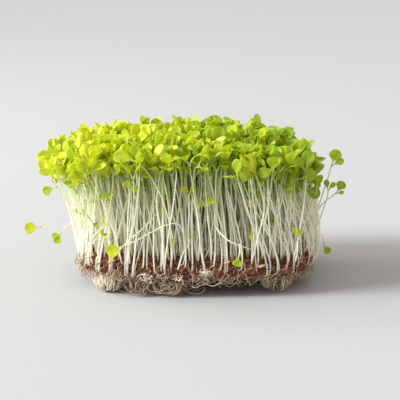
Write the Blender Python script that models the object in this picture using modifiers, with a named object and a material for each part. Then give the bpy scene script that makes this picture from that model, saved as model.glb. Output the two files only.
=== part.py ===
"""A block of microgreens lifted out of its growing tray, standing on its own root feet.

Bottom to top: four root feet and a root curl, a matted root layer, a coir growing mat, then the stand of
seedlings. The stand is split into a grid of tufts, each with one solid for its packed stems and one for its
crown of leaves. The seedlings that lean clear of the stand are separate pieces.
Metres, +Z up, +X to the right and the viewer on the -Y side.
"""

import math
import random

import bmesh
import bpy
from mathutils import Matrix, Vector

# Growing mat, in plan a superellipse
MAT_WIDTH = 0.151
MAT_DEPTH = 0.112
MAT_SQUARENESS = 3.3
ROOT_LAYER_INSET = 0.0045
GAP = 0.0004

# Heights above the surface that the block stands on
FOOT_TOP = 0.0088
ROOT_TOP = 0.0132
COIR_TOP = 0.0234
STEM_TOP = 0.0740
LEAF_TOP = 0.0940

# Stand of seedlings: it opens out towards the top and leans a little to the left
COLUMNS = 5
ROWS = 4
SPREAD_X = 0.125
SPREAD_Y = 0.130
LEAN_X = -0.0020
LEAN_CURVE = 1.35

STEM_RADIUS = 0.00065
COTYLEDON_THICKNESS = 0.0005
RANDOM_SEED = 41

COLOURS = {
    "coir": ((0.20, 0.075, 0.035), 0.95),
    "root": ((0.62, 0.50, 0.34), 0.80),
    "stem": ((0.80, 0.86, 0.62), 0.45),
    "leaf": ((0.32, 0.52, 0.03), 0.50),
    "seedling": ((0.42, 0.62, 0.10), 0.50),
}


def clear_scene():
    for obj in list(bpy.data.objects):
        bpy.data.objects.remove(obj, do_unlink=True)


def make_collection(name):
    collection = bpy.data.collections.new(name)
    bpy.context.scene.collection.children.link(collection)
    return collection


def make_material(name):
    colour, roughness = COLOURS[name]
    material = bpy.data.materials.new(name)
    material.use_nodes = True
    shader = material.node_tree.nodes["Principled BSDF"]
    shader.inputs["Base Color"].default_value = (*colour, 1.0)
    shader.inputs["Roughness"].default_value = roughness
    shader.inputs["Metallic"].default_value = 0.0
    return material


def add_part(name, bm, material):
    """Makes an object from a bmesh and puts it in the part's collection, under the root empty."""
    bmesh.ops.recalc_face_normals(bm, faces=bm.faces)
    mesh = bpy.data.meshes.new(name)
    bm.to_mesh(mesh)
    bm.free()
    mesh.materials.append(material)
    mesh.shade_smooth()
    mesh.set_sharp_from_angle(angle=math.radians(50))
    obj = bpy.data.objects.new(name, mesh)
    parts.objects.link(obj)
    obj.parent = frame
    return obj


def superellipse(angle, squareness):
    """How far the outline is from the middle, at this angle, when both half widths are 1."""
    cosine, sine = abs(math.cos(angle)), abs(math.sin(angle))
    return (cosine**squareness + sine**squareness) ** (-1 / squareness)


def ground(u, v):
    """The place on the mat of a point of the square from -1 to 1: the square's edge lands on the outline."""
    reach = max(abs(u), abs(v))
    angle = math.atan2(v, u)
    rounding = superellipse(angle, MAT_SQUARENESS) * max(abs(math.cos(angle)), abs(math.sin(angle)))
    shrink = 1 - (1 - rounding) * reach**2
    return Vector((u * shrink * MAT_WIDTH / 2, v * shrink * MAT_DEPTH / 2))


def in_stand(u, v, z):
    """A point of the stand of seedlings, over the place (u, v) of the mat."""
    share = max(0.0, (z - COIR_TOP) / (LEAF_TOP - COIR_TOP)) ** LEAN_CURVE
    place = ground(u, v)
    x = place.x * (1 + SPREAD_X * share) + LEAN_X * share
    y = place.y * (1 + SPREAD_Y * share)
    return Vector((x, y, z))


def slab(name, material, bottom, top, inset, waviness):
    """A flat layer with the mat's outline, its rim a little uneven and its edges rounded."""
    segments, rounding = 56, 0.0016
    bm = bmesh.new()
    bmesh.ops.create_circle(bm, cap_ends=True, segments=segments, radius=1.0)
    for vertex in bm.verts:
        angle = math.atan2(vertex.co.y, vertex.co.x)
        reach = superellipse(angle, MAT_SQUARENESS)
        wave = waviness * (math.sin(5 * angle + 1.0) + 0.6 * math.sin(11 * angle) - 1.6)
        x = math.cos(angle) * (reach * MAT_WIDTH / 2 - inset + wave)
        y = math.sin(angle) * (reach * MAT_DEPTH / 2 - inset + wave)
        vertex.co = (x, y, bottom)
    grown = bmesh.ops.extrude_face_region(bm, geom=bm.faces[:])
    upper = [g for g in grown["geom"] if isinstance(g, bmesh.types.BMVert)]
    bmesh.ops.translate(bm, verts=upper, vec=(0, 0, top - bottom))
    obj = add_part(name, bm, material)
    bevel = obj.modifiers.new("rounded_edges", "BEVEL")
    bevel.width = rounding
    bevel.segments = 2
    bevel.limit_method = "ANGLE"
    bevel.angle_limit = math.radians(50)
    return obj


def root_foot(name, centre, radii):
    """A bag of roots that filled a hollow in the tray's floor: round, with a flat underside to stand on."""
    flat_share = 0.62
    bm = bmesh.new()
    bmesh.ops.create_uvsphere(bm, u_segments=18, v_segments=10, radius=1.0)
    geometry = bm.verts[:] + bm.edges[:] + bm.faces[:]
    for height, normal in ((-flat_share, (0, 0, -1)), (flat_share, (0, 0, 1))):
        cut = bmesh.ops.bisect_plane(
            bm, geom=geometry, plane_co=(0, 0, height), plane_no=normal, clear_outer=True
        )
        rim = [g for g in cut["geom_cut"] if isinstance(g, bmesh.types.BMEdge)]
        bmesh.ops.contextual_create(bm, geom=rim)
        geometry = bm.verts[:] + bm.edges[:] + bm.faces[:]
    tall = FOOT_TOP / (2 * flat_share)
    bmesh.ops.scale(bm, verts=bm.verts, vec=(radii[0], radii[1], tall))
    bmesh.ops.translate(bm, verts=bm.verts, vec=(centre[0], centre[1], FOOT_TOP / 2))
    return add_part(name, bm, root_material)


def root_curl(name, centre, ring, thickness):
    """A root that has coiled round once, hanging under the mat's front edge."""
    turns, steps = 0.94, 22
    points = []
    for step in range(steps):
        turn = 2 * math.pi * turns * step / (steps - 1)
        x = centre[0] + ring * math.sin(turn)
        y = centre[1] + 0.0012 * step / steps
        points.append(Vector((x, y, centre[2] + ring * math.cos(turn))))
    return tube(name, points, [thickness] * steps, root_material)


def tube_mesh(points, radii):
    """A closed round mesh along the points, from a curve with a bevel, its caps welded on."""
    data = bpy.data.curves.new("tube", "CURVE")
    data.dimensions = "3D"
    data.bevel_depth = 1.0
    data.bevel_resolution = 1
    data.use_fill_caps = True
    spline = data.splines.new("POLY")
    spline.points.add(len(points) - 1)
    for target, point, radius in zip(spline.points, points, radii):
        target.co = (*point, 1.0)
        target.radius = radius
    guide = bpy.data.objects.new("tube", data)
    parts.objects.link(guide)
    evaluated = guide.evaluated_get(bpy.context.evaluated_depsgraph_get())
    mesh = bpy.data.meshes.new_from_object(evaluated)
    bpy.data.objects.remove(guide, do_unlink=True)
    bm = bmesh.new()
    bm.from_mesh(mesh)
    bmesh.ops.remove_doubles(bm, verts=bm.verts, dist=1e-6)
    bpy.data.meshes.remove(mesh)
    return bm


def tube(name, points, radii, material):
    return add_part(name, tube_mesh(points, radii), material)


def cell_of(column, row):
    """The middle and the half sizes of a tuft's cell, in the square from -1 to 1."""
    half = Vector((1 / COLUMNS, 1 / ROWS))
    middle = Vector(((2 * column + 1) / COLUMNS - 1, (2 * row + 1) / ROWS - 1))
    share = Vector((half.x - GAP / MAT_WIDTH * 2, half.y - GAP / MAT_DEPTH * 2))
    return middle, share


def stem_tuft(column, row):
    """The packed stems of one cell: a bundle with a fluted side, one flute to each outer stem."""
    sides, levels, flute = 20, 3, 0.05
    middle, half = cell_of(column, row)
    bottom, top = COIR_TOP + GAP, STEM_TOP
    bm = bmesh.new()
    bmesh.ops.create_cone(bm, cap_ends=True, segments=sides, radius1=1, radius2=1, depth=1)
    for level in range(1, levels):
        plane = (0, 0, level / levels - 0.5)
        geometry = bm.verts[:] + bm.edges[:] + bm.faces[:]
        bmesh.ops.bisect_plane(bm, geom=geometry, plane_co=plane, plane_no=(0, 0, 1))
    for vertex in bm.verts:
        angle = math.atan2(vertex.co.y, vertex.co.x)
        index = round(angle / (2 * math.pi) * sides)
        reach = superellipse(angle, 7.0) * (1 - flute * (index % 2))
        u = middle.x + half.x * reach * math.cos(angle)
        v = middle.y + half.y * reach * math.sin(angle)
        vertex.co = in_stand(u, v, bottom + (vertex.co.z + 0.5) * (top - bottom))
    return add_part(f"stems_{row + 1}_{column + 1}", bm, stem_material)


def leaf_crown(column, row, rng):
    """The crown of leaves over one cell, a soft cushion from a coarse cage, lumpy on top."""
    middle, half = cell_of(column, row)
    bottom, top = STEM_TOP + GAP, LEAF_TOP
    lumps = 0.0035
    bm = bmesh.new()
    bmesh.ops.create_cube(bm, size=2.0)
    bmesh.ops.subdivide_edges(bm, edges=bm.edges[:], cuts=1, use_grid_fill=True)
    for vertex in bm.verts:
        square, height = vertex.co.xy, vertex.co.z
        tuck = 1 - 0.05 * max(0.0, -height)
        u = middle.x + half.x * square.x * tuck
        v = middle.y + half.y * square.y * tuck
        dome = 1 - 0.10 * square.length_squared * max(0.0, height)
        z = bottom + (top - bottom) * (height * dome + 1) / 2
        if height > 0.5:
            z -= rng.uniform(0.0, lumps)
        vertex.co = in_stand(u, v, z)
    obj = add_part(f"leaves_{row + 1}_{column + 1}", bm, leaf_material)
    smooth = obj.modifiers.new("soft", "SUBSURF")
    smooth.levels = smooth.render_levels = 1
    return obj


def bezier(points, steps):
    """Points along a smooth curve with these four control points."""
    a, b, c, d = (Vector(p) for p in points)
    found = []
    for step in range(steps):
        t = step / (steps - 1)
        s = 1 - t
        found.append(s**3 * a + 3 * s * s * t * b + 3 * s * t * t * c + t**3 * d)
    return found


def cotyledon(base, tip, width, face):
    """A closed mesh of a spoon-shaped seed leaf from base to tip, its upper side turned towards face."""
    bends, arch = 5, 0.10
    axis = tip - base
    side = axis.cross(Vector(face)).normalized()
    up = side.cross(axis).normalized()
    bm = bmesh.new()
    bmesh.ops.create_cube(bm, size=1.0)
    long_edges = [e for e in bm.edges if abs(e.verts[0].co.x - e.verts[1].co.x) > 0.5]
    bmesh.ops.subdivide_edges(bm, edges=long_edges, cuts=bends)
    for vertex in bm.verts:
        share = vertex.co.x + 0.5
        blade = 0.16 + 0.84 * math.sin(math.pi * (0.93 * share) ** 1.9) ** 0.75
        rise = arch * axis.length * math.sin(math.pi * share) + vertex.co.z * COTYLEDON_THICKNESS
        vertex.co = base + axis * share + side * (vertex.co.y * width * blade) + up * rise
    return bm


def stray_seedling(name, stem, leaves):
    """One seedling that leans clear of the stand, its stem and its seed leaves in one piece.

    stem holds where it leaves the stand's side, as (u, v, height), then the three other control points of its
    curve. Each leaf holds its tip, its width and which way it faces.
    """
    steps = 9
    start, *rest = stem
    points = bezier([in_stand(*start), *rest], steps)
    body = add_part(name, tube_mesh(points, [STEM_RADIUS] * steps), seedling_material)
    for number, (tip, width, face) in enumerate(leaves):
        base = points[-1] - (points[-1] - points[-2]).normalized() * STEM_RADIUS * 1.2
        blade = cotyledon(base, Vector(tip), width, face)
        cutter_object = add_part(f"{name}_blade_{number}", blade, seedling_material)
        parts.objects.unlink(cutter_object)
        blades.objects.link(cutter_object)
        cutter_object.hide_render = True
        cutter_object.display_type = "WIRE"
        join = body.modifiers.new(f"blade_{number}", "BOOLEAN")
        join.operation = "UNION"
        join.object = cutter_object
    return body


# Stems and leaves of the seedlings that lean out, above the middle of the block's footprint
STRAYS = {
    "stray_far_left": (
        (
            (-1.02, -0.27, 0.0318),
            (-0.0823, -0.0170, 0.0349),
            (-0.0926, -0.0200, 0.0350),
            (-0.0996, -0.0200, 0.0337),
        ),
        [
            ((-0.1072, -0.0200, 0.0337), 0.0078, (0.2, -1.0, 0.3)),
        ],
    ),
    "stray_left_high": (
        (
            (-1.02, -0.09, 0.0542),
            (-0.0846, -0.0050, 0.0672),
            (-0.0888, -0.0050, 0.0769),
            (-0.0915, -0.0050, 0.0790),
        ),
        [
            ((-0.1000, -0.0060, 0.0765), 0.0082, (0.1, -1.0, 0.5)),
        ],
    ),
    "stray_left_pair": (
        (
            (-1.02, 0.09, 0.0665),
            (-0.0848, 0.0050, 0.0725),
            (-0.0856, 0.0050, 0.0775),
            (-0.0865, 0.0050, 0.0815),
        ),
        [
            ((-0.0950, 0.0040, 0.0865), 0.0066, (0.1, -1.0, 0.4)),
            ((-0.0935, 0.0080, 0.0800), 0.0060, (0.2, -1.0, 0.2)),
        ],
    ),
    "stray_left_back": (
        (
            (-1.02, 0.60, 0.0375),
            (-0.0905, 0.0350, 0.0425),
            (-0.0935, 0.0350, 0.0465),
            (-0.0950, 0.0350, 0.0490),
        ),
        [
            ((-0.1050, 0.0350, 0.0465), 0.0062, (0.1, -1.0, 0.4)),
            ((-0.0980, 0.0350, 0.0565), 0.0050, (0.6, -1.0, 0.2)),
        ],
    ),
    "stray_left_low": (
        (
            (-1.02, 0.62, 0.0285),
            (-0.0850, 0.0350, 0.0245),
            (-0.0900, 0.0350, 0.0205),
            (-0.0925, 0.0350, 0.0165),
        ),
        [
            ((-0.0950, 0.0350, 0.0085), 0.0052, (0.1, -1.0, 0.3)),
            ((-0.1000, 0.0350, 0.0175), 0.0050, (0.1, -1.0, 0.3)),
        ],
    ),
    "stray_front_left": (
        (
            (-0.23, -1.02, 0.0474),
            (-0.0265, -0.0690, 0.0441),
            (-0.0354, -0.0700, 0.0391),
            (-0.0445, -0.0700, 0.0345),
        ),
        [
            ((-0.0550, -0.0700, 0.0287), 0.0084, (0.0, -1.0, 0.25)),
        ],
    ),
    "stray_front_fallen": (
        (
            (0.16, -1.02, 0.0455),
            (0.0208, -0.0670, 0.0378),
            (0.0287, -0.0670, 0.0347),
            (0.0350, -0.0660, 0.0320),
        ),
        [],
    ),
    "stray_front_drop": (
        (
            (0.34, -1.02, 0.0355),
            (0.0265, -0.0640, 0.0325),
            (0.0262, -0.0660, 0.0295),
            (0.0258, -0.0660, 0.0275),
        ),
        [
            ((0.0250, -0.0660, 0.0197), 0.0060, (0.2, -1.0, 0.2)),
        ],
    ),
    "stray_right_high": (
        (
            (1.02, -0.09, 0.0275),
            (0.0800, -0.0050, 0.0477),
            (0.0850, -0.0050, 0.0645),
            (0.0868, -0.0050, 0.0710),
        ),
        [
            ((0.0895, -0.0060, 0.0815), 0.0080, (-0.1, -1.0, 0.3)),
            ((0.0935, -0.0050, 0.0765), 0.0042, (-0.3, -1.0, 0.6)),
        ],
    ),
    "stray_right_mid": (
        (
            (1.02, 0.27, 0.0329),
            (0.0829, 0.0150, 0.0417),
            (0.0890, 0.0150, 0.0465),
            (0.0922, 0.0150, 0.0487),
        ),
        [
            ((0.0928, 0.0150, 0.0580), 0.0066, (-0.1, -1.0, 0.2)),
            ((0.0975, 0.0150, 0.0490), 0.0030, (-0.1, -1.0, 0.6)),
        ],
    ),
    "stray_right_sprout": (
        (
            (1.03, -0.27, 0.0315),
            (0.0815, -0.0150, 0.0445),
            (0.0835, -0.0150, 0.0525),
            (0.0840, -0.0150, 0.0570),
        ),
        [
            ((0.0820, -0.0150, 0.0635), 0.0036, (0.0, -1.0, 0.3)),
            ((0.0885, -0.0150, 0.0620), 0.0034, (0.0, -1.0, 0.3)),
        ],
    ),
    "stray_right_low": (
        (
            (1.02, 0.30, 0.0285),
            (0.0820, 0.0170, 0.0265),
            (0.0865, 0.0170, 0.0205),
            (0.0880, 0.0170, 0.0155),
        ),
        [
            ((0.0920, 0.0160, 0.0095), 0.0050, (0.0, -1.0, 0.5)),
        ],
    ),
}

FEET = {
    "root_foot_front_left": ((-0.0545, -0.0365), (0.0110, 0.0100)),
    "root_foot_front_right": ((0.0500, -0.0365), (0.0105, 0.0100)),
    "root_foot_back_left": ((-0.0520, 0.0365), (0.0105, 0.0100)),
    "root_foot_back_right": ((0.0520, 0.0365), (0.0105, 0.0100)),
}


def set_on_origin():
    """Moves the frame so that the origin is at the middle of the whole block's footprint, on the surface."""
    bpy.context.view_layer.update()
    graph = bpy.context.evaluated_depsgraph_get()
    corners = []
    for obj in parts.objects:
        evaluated = obj.evaluated_get(graph)
        mesh = evaluated.to_mesh()
        corners += [evaluated.matrix_world @ vertex.co for vertex in mesh.vertices]
        evaluated.to_mesh_clear()
    low = Vector([min(c[axis] for c in corners) for axis in range(3)])
    high = Vector([max(c[axis] for c in corners) for axis in range(3)])
    frame.location = (-(low.x + high.x) / 2, -(low.y + high.y) / 2, -low.z)
    bpy.context.view_layer.update()


clear_scene()
parts = make_collection("microgreens_block")
blades = make_collection("stray_leaf_blades")
frame = bpy.data.objects.new("frame", None)
bpy.context.scene.collection.objects.link(frame)
coir_material = make_material("coir")
root_material = make_material("root")
stem_material = make_material("stem")
leaf_material = make_material("leaf")
seedling_material = make_material("seedling")

for foot_name, (foot_centre, foot_radii) in FEET.items():
    root_foot(foot_name, foot_centre, foot_radii)
root_curl("root_curl_front", Vector((-0.0140, -0.0525, 0.0058)), 0.0045, 0.0012)
slab("root_layer", root_material, FOOT_TOP + GAP, ROOT_TOP, ROOT_LAYER_INSET, 0.0006)
slab("coir_mat", coir_material, ROOT_TOP + GAP, COIR_TOP, 0.0, 0.0005)

lump_rng = random.Random(RANDOM_SEED)
for tuft_row in range(ROWS):
    for tuft_column in range(COLUMNS):
        stem_tuft(tuft_column, tuft_row)
        leaf_crown(tuft_column, tuft_row, lump_rng)

for stray_name, (stray_stem, stray_leaves) in STRAYS.items():
    stray_seedling(stray_name, stray_stem, stray_leaves)

set_on_origin()
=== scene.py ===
import random
from math import atan2, cos, pi, radians, sin, sqrt

import bpy
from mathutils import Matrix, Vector, noise


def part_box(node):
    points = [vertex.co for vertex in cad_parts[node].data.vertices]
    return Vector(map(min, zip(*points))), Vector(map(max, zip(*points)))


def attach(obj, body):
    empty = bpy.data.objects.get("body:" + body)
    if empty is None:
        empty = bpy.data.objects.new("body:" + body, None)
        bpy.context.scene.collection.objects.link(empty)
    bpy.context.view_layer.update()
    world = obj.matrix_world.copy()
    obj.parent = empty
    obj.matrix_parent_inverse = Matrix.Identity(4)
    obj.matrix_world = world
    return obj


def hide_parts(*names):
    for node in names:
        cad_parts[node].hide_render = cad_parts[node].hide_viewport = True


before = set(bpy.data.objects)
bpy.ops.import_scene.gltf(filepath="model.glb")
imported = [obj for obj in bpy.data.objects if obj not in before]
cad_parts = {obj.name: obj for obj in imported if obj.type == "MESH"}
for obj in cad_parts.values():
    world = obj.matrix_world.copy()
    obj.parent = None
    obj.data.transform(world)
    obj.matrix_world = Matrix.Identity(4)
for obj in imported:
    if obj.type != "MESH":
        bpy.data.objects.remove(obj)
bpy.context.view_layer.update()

# The growing mat: everything else is placed from its box
coirLow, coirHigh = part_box("coir_mat")
webLow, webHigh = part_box("root_layer")
crownHigh = max(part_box(f"leaves_{row}_{column}")[1].z for row in range(1, 5) for column in range(1, 6))
middle = Vector(((coirLow.x + coirHigh.x) / 2, (coirLow.y + coirHigh.y) / 2, 0))
matHalf = Vector(((coirHigh.x - coirLow.x) / 2, (coirHigh.y - coirLow.y) / 2, 0))
coirTop, coirBottom = coirHigh.z, coirLow.z
up = Vector((0, 0, 1))
fullTurn = 2 * pi


class Wire:  # a socket that can be used in a sum
    def __init__(self, finish, socket):
        self.finish, self.socket = finish, socket

    def sum(self, operation, first, second):
        return self.finish.node("ShaderNodeMath", {"operation": operation}, {0: first, 1: second})

    def __add__(self, other):
        return self.sum("ADD", self, other)

    def __radd__(self, other):
        return self.sum("ADD", other, self)

    def __sub__(self, other):
        return self.sum("SUBTRACT", self, other)

    def __rsub__(self, other):
        return self.sum("SUBTRACT", other, self)

    def __mul__(self, other):
        return self.sum("MULTIPLY", self, other)

    def __abs__(self):
        return self.finish.node("ShaderNodeMath", {"operation": "ABSOLUTE"}, {0: self})


class Finish:  # one material and the ways to add nodes to it
    def __init__(self, name, **plain):
        self.material = bpy.data.materials.new(name)
        self.material.use_nodes = True
        self.tree = self.material.node_tree
        self.shader = self.tree.nodes["Principled BSDF"]
        for socket, value in plain.items():
            self.feed(self.shader.inputs[socket.replace("_", " ")], value)

    def feed(self, socket, value):
        if isinstance(value, Wire):
            self.tree.links.new(value.socket, socket)
        else:
            socket.default_value = value

    def node(self, kind, settings=None, inputs=None, output=0):
        made = self.tree.nodes.new(kind)
        for name, value in (settings or {}).items():
            setattr(made, name, value)
        for name, value in (inputs or {}).items():
            self.feed(made.inputs[name], value)
        return Wire(self, made.outputs[output])

    def mark(self, name):  # a value stored on the mesh
        return self.node("ShaderNodeAttribute", {"attribute_name": name}, output="Fac")

    def place(self):  # where a point of the piece is
        return self.node("ShaderNodeTexCoord", output="Object")

    def grain(self, scale, detail=3.0, stretch=None):
        where = self.place()
        if stretch:
            where = self.node("ShaderNodeMapping", inputs={"Vector": where, "Scale": stretch})
        return self.node("ShaderNodeTexNoise", inputs={"Vector": where, "Scale": scale, "Detail": detail})

    def step(self, value, low, high):  # 0 below low, 1 above high, smooth between
        made = {"interpolation_type": "SMOOTHSTEP"}
        return self.node("ShaderNodeMapRange", made, {"Value": value, "From Min": low, "From Max": high})

    def blend(self, factor, first, second):
        made = {"data_type": "RGBA"}
        return self.node("ShaderNodeMix", made, {0: factor, 6: first, 7: second}, output=2)

    def paint(self, colour, roughness=None):
        self.feed(self.shader.inputs["Base Color"], colour)
        if roughness is not None:
            self.feed(self.shader.inputs["Roughness"], roughness)

    def emboss(self, height, strength, distance):
        bump = {"Height": height, "Strength": strength, "Distance": distance}
        self.feed(self.shader.inputs["Normal"], self.node("ShaderNodeBump", inputs=bump))

    def glowThrough(self, share, colour):  # lets light through from behind, as a thin leaf does
        through = self.node("ShaderNodeBsdfTranslucent", inputs={"Color": colour})
        solid = Wire(self, self.shader.outputs[0])
        both = self.node("ShaderNodeMixShader", inputs={0: share, 1: solid, 2: through})
        self.feed(self.tree.nodes["Material Output"].inputs["Surface"], both)


def rgb(red, green, blue):
    return (red, green, blue, 1.0)


class Sheaf:  # gathers strands and blades into one mesh
    def __init__(self):
        self.points, self.faces = [], []
        self.marks = {"tone": [], "along": [], "across": []}

    def loft(self, rings, tone, alongs=None, acrosses=None):  # marks that are left out are 0
        count, base = len(rings[0]), len(self.points)
        for ring, along in zip(rings, alongs or [0.0] * len(rings)):
            self.points += ring
            self.marks["tone"] += [tone] * count
            self.marks["along"] += [along] * count
            self.marks["across"] += acrosses or [0.0] * count
        for level in range(len(rings) - 1):
            low = base + level * count
            high = low + count
            for k in range(count):
                after = (k + 1) % count
                self.faces.append((low + k, low + after, high + after, high + k))
        last = base + (len(rings) - 1) * count
        self.faces.append(tuple(range(base + count - 1, base - 1, -1)))
        self.faces.append(tuple(range(last, last + count)))

    def strand(self, path, radii, sides, tone):
        turns = [(cos(a), sin(a)) for a in (fullTurn * k / sides for k in range(sides))]
        rings, across = [], None
        for k, point in enumerate(path):
            heading = (path[min(k + 1, len(path) - 1)] - path[max(k - 1, 0)]).normalized()
            if across is None:
                across = heading.orthogonal()
            across = (across - heading * across.dot(heading)).normalized()
            other = heading.cross(across)
            radius = radii(k / (len(path) - 1)) if callable(radii) else radii
            rings.append([point + across * (c * radius) + other * (s * radius) for c, s in turns])
        self.loft(rings, tone, evenly(len(path)))

    def build(self, name, finish):
        mesh = bpy.data.meshes.new(name)
        mesh.from_pydata(self.points, [], self.faces)
        for mark, values in self.marks.items():
            mesh.attributes.new(mark, "FLOAT", "POINT").data.foreach_set("value", values)
        mesh.polygons.foreach_set("use_smooth", [True] * len(mesh.polygons))
        mesh.materials.append(finish.material)
        mesh.update()
        piece = bpy.data.objects.new(name, mesh)
        bpy.context.scene.collection.objects.link(piece)
        return piece


def settle(piece, slot, *nodes):
    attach(piece, "root")
    if nodes:
        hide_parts(*nodes)


def evenly(count):  # shares from 0 to 1
    return [k / (count - 1) for k in range(count)]


def curve(a, b, c, d, count):
    found = []
    for t in evenly(count):
        s = 1 - t
        found.append(a * s**3 + b * (3 * s * s * t) + c * (3 * s * t * t) + d * t**3)
    return found


def through(points, steps):  # a smooth curve through given points
    ends = [points[0] * 2 - points[1]] + points + [points[-1] * 2 - points[-2]]
    found = []
    for k in range(1, len(ends) - 2):
        before, start, end, after = ends[k - 1:k + 3]
        for step in range(steps):
            t = step / steps
            bend = (end - before) * t + (before * 2 - start * 5 + end * 4 - after) * t**2
            found.append(start + (bend + (start * 3 - before - end * 3 + after) * t**3) * 0.5)
    return found + [points[-1]]


def onMat(x, y, z):  # millimetres from the middle of the mat, and above the table
    return Vector((middle.x + x / 1000, middle.y + y / 1000, z / 1000))


matShape = {"squareness": 3.3, "meanRadius": 0.065}
standShape = {
    "spread": (0.10, -0.02, 0.045),  # to the left, to the right, and towards the front and back
    "leanX": -0.0058,
    "leanPower": 1.35,
    "limits": ((-0.0900, 0.0745), (-0.0655, 0.0570)),  # of a stem's tip, from the middle of the mat
}


def reach(angle):
    power = matShape["squareness"]
    return (abs(cos(angle)) ** power + abs(sin(angle)) ** power) ** (-1 / power)


def rim(angle, inset=0.0, z=0.0):
    far = reach(angle)
    x = cos(angle) * (matHalf.x * far - inset)
    y = sin(angle) * (matHalf.y * far - inset)
    return middle + Vector((x, y, z))


def matRing(count, share, z, shape):
    found = []
    for k in range(count):
        angle = fullTurn * k / count
        found.append(shape((rim(angle) - middle) * share + middle + up * z, angle))
    return found


def outwards(angle):
    return Vector((cos(angle), sin(angle), 0))


def ripple(x, y, z):  # smooth noise from about -1 to 1
    return noise.noise(Vector((x, y, z)))


def anyDirection(rng, steep=1.0):
    return Vector((rng.gauss(0, 1), rng.gauss(0, 1), rng.gauss(0, steep))).normalized()


def ground(u, v):  # u and v run from -1 to 1 across the mat
    far = max(abs(u), abs(v))
    angle = atan2(v, u)
    shrink = 1 - (1 - reach(angle) * max(abs(cos(angle)), abs(sin(angle)))) * far**2
    return Vector((u * shrink * matHalf.x, v * shrink * matHalf.y, 0))


def inStand(u, v, z):
    rise = max(0.0, (z - coirTop) / (crownHigh - coirTop)) ** standShape["leanPower"]
    place = ground(u, v)
    left, right, deep = standShape["spread"]
    x = place.x * (1 + (left if place.x < 0 else right) * rise) + standShape["leanX"] * rise
    y = place.y * (1 + deep * rise)
    return middle + Vector((x, y, z))


leafPaint = {
    "deep": rgb(0.15, 0.27, 0.014),
    "fresh": rgb(0.40, 0.53, 0.026),
    "yellow": rgb(0.80, 0.80, 0.045),
    "petiole": rgb(0.74, 0.80, 0.42),
    "vein": rgb(0.66, 0.75, 0.16),
    "through": rgb(0.82, 0.90, 0.06),
    "share": 0.50,
}


def leafFinish():
    finish = Finish("seedLeaf", Roughness=0.42, Specular_IOR_Level=0.4)
    tone, along, across = finish.mark("tone"), finish.mark("along"), finish.mark("across")
    # a higher tone is lighter and yellower; across the tufts it carries painted light at the left and
    # painted shade at the right, beside each leaf's own random tone
    body = finish.blend(finish.step(tone, 0.0, 0.6), leafPaint["deep"], leafPaint["fresh"])
    body = finish.blend(finish.step(tone, 0.5, 1.0), body, leafPaint["yellow"])
    mottle = finish.grain(380.0, 4.0)
    body = finish.blend(finish.step(mottle, 0.35, 0.8) * 0.35, body, leafPaint["deep"])
    side = abs(across)
    ribs = finish.node("ShaderNodeMath", {"operation": "SINE"}, {0: (along - side * 0.22) * 62.0})
    ribs = finish.step(ribs, 0.55, 1.0) * finish.step(along, 0.3, 0.5) * (1 - finish.step(side, 0.75, 1.0))
    midrib = 1 - finish.step(side, 0.0, 0.16)
    veins = midrib * 0.55 * (1 - finish.step(along, 0.75, 0.98)) + ribs * 0.2
    body = finish.blend(veins, body, leafPaint["vein"])
    body = finish.blend(1 - finish.step(along, 0.12, 0.42), body, leafPaint["petiole"])
    finish.paint(body, 0.36 + mottle * 0.2)
    finish.emboss(veins + mottle * 0.6, 0.35, 0.0003)
    finish.glowThrough(leafPaint["share"], leafPaint["through"])
    return finish


stemPaint = {
    "foot": rgb(0.98, 0.95, 0.90),
    "white": rgb(0.98, 0.965, 0.90),
    "green": rgb(0.66, 0.80, 0.26),
    "shade": rgb(0.84, 0.86, 0.64),
    "through": rgb(1.0, 0.99, 0.88),
    "share": 0.5,
}


def stemFinish():
    finish = Finish("seedlingStem", Roughness=0.32, Specular_IOR_Level=0.5)
    tone, along = finish.mark("tone"), finish.mark("along")
    body = finish.blend(finish.step(along, 0.0, 0.2), stemPaint["foot"], stemPaint["white"])
    body = finish.blend(finish.step(along + tone * 0.3, 0.62, 1.22), body, stemPaint["green"])
    body = finish.blend(finish.step(tone, 0.6, 1.0) * 0.4, body, stemPaint["shade"])
    lines = finish.grain(260.0, 3.0, (6.0, 6.0, 0.5))
    body = finish.blend(finish.step(lines, 0.45, 0.75) * 0.3, body, stemPaint["shade"])
    finish.paint(body, 0.28 + lines * 0.2)
    finish.emboss(lines, 0.25, 0.0002)
    finish.glowThrough(stemPaint["share"], stemPaint["through"])
    return finish


coirPaint = {
    "dark": rgb(0.045, 0.014, 0.009),
    "brown": rgb(0.135, 0.048, 0.025),
    "rust": rgb(0.25, 0.076, 0.030),
    "straw": rgb(0.52, 0.30, 0.14),
}


def coirFinish(name, lift):
    finish = Finish(name, Roughness=0.9, Specular_IOR_Level=0.2)
    coarse, fine = finish.grain(110.0, 5.0), finish.grain(900.0, 4.0)
    # the darkest brown follows the low spots of the coarse bump: painted shade in the coir's hollows, over
    # its own dark brown
    body = finish.blend(finish.step(coarse + lift, 0.40, 0.62), coirPaint["dark"], coirPaint["brown"])
    body = finish.blend(finish.step(fine + lift, 0.46, 0.66), body, coirPaint["rust"])
    body = finish.blend(finish.step(finish.grain(430.0, 2.0) + lift, 0.62, 0.78), body, coirPaint["straw"])
    finish.paint(body, 0.75 + fine * 0.25)
    finish.emboss(fine + coarse, 0.8, 0.0008)
    return finish


fibrePaint = {
    "dark": rgb(0.085, 0.028, 0.014),
    "rust": rgb(0.34, 0.115, 0.045),
    "orange": rgb(0.56, 0.25, 0.10),
}


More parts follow.
